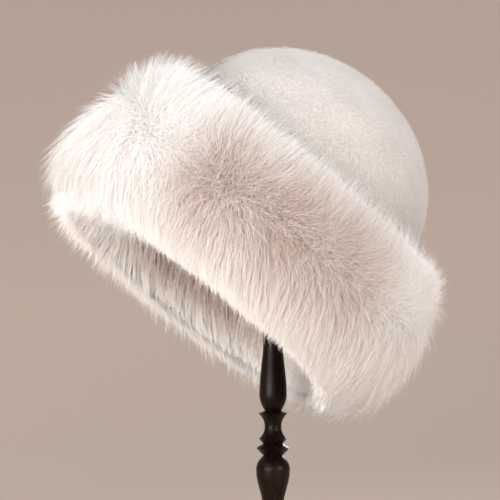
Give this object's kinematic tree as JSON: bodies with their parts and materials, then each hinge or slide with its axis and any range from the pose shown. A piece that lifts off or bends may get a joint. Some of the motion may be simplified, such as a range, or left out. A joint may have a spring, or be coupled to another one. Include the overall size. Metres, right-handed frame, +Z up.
{
  "type": "faux fur bucket hat on a turned wooden hat stand",
  "caption": "Bucket hat with a short-pile plush dome and a wide brim of long pale fur, leaning on the plain head of a turned dark wood hat stand.",
  "frame": {"origin": "centre of the stand's underside, on the surface it stands on", "axes": "+Z up along the stand's post, +X towards the low side of the leaning hat, -Y towards the side from which its opening shows"},
  "size_m": [0.2832, 0.2987, 0.4344],
  "materials": {
    "plush": "dense short pile, off-white",
    "cloth": "knitted backing, warm beige",
    "fur": "long soft fur, off-white tips over a beige and brown-pink middle",
    "wood": "dark stained and polished"
  },
  "bodies": {
    "root": {"crown": "plush", "crown_band": "plush", "brim": "cloth", "brim_fur": "fur", "stand_foot": "wood", "stand_post": "wood", "stand_knob": "wood"}
  },
  "joints": []
}
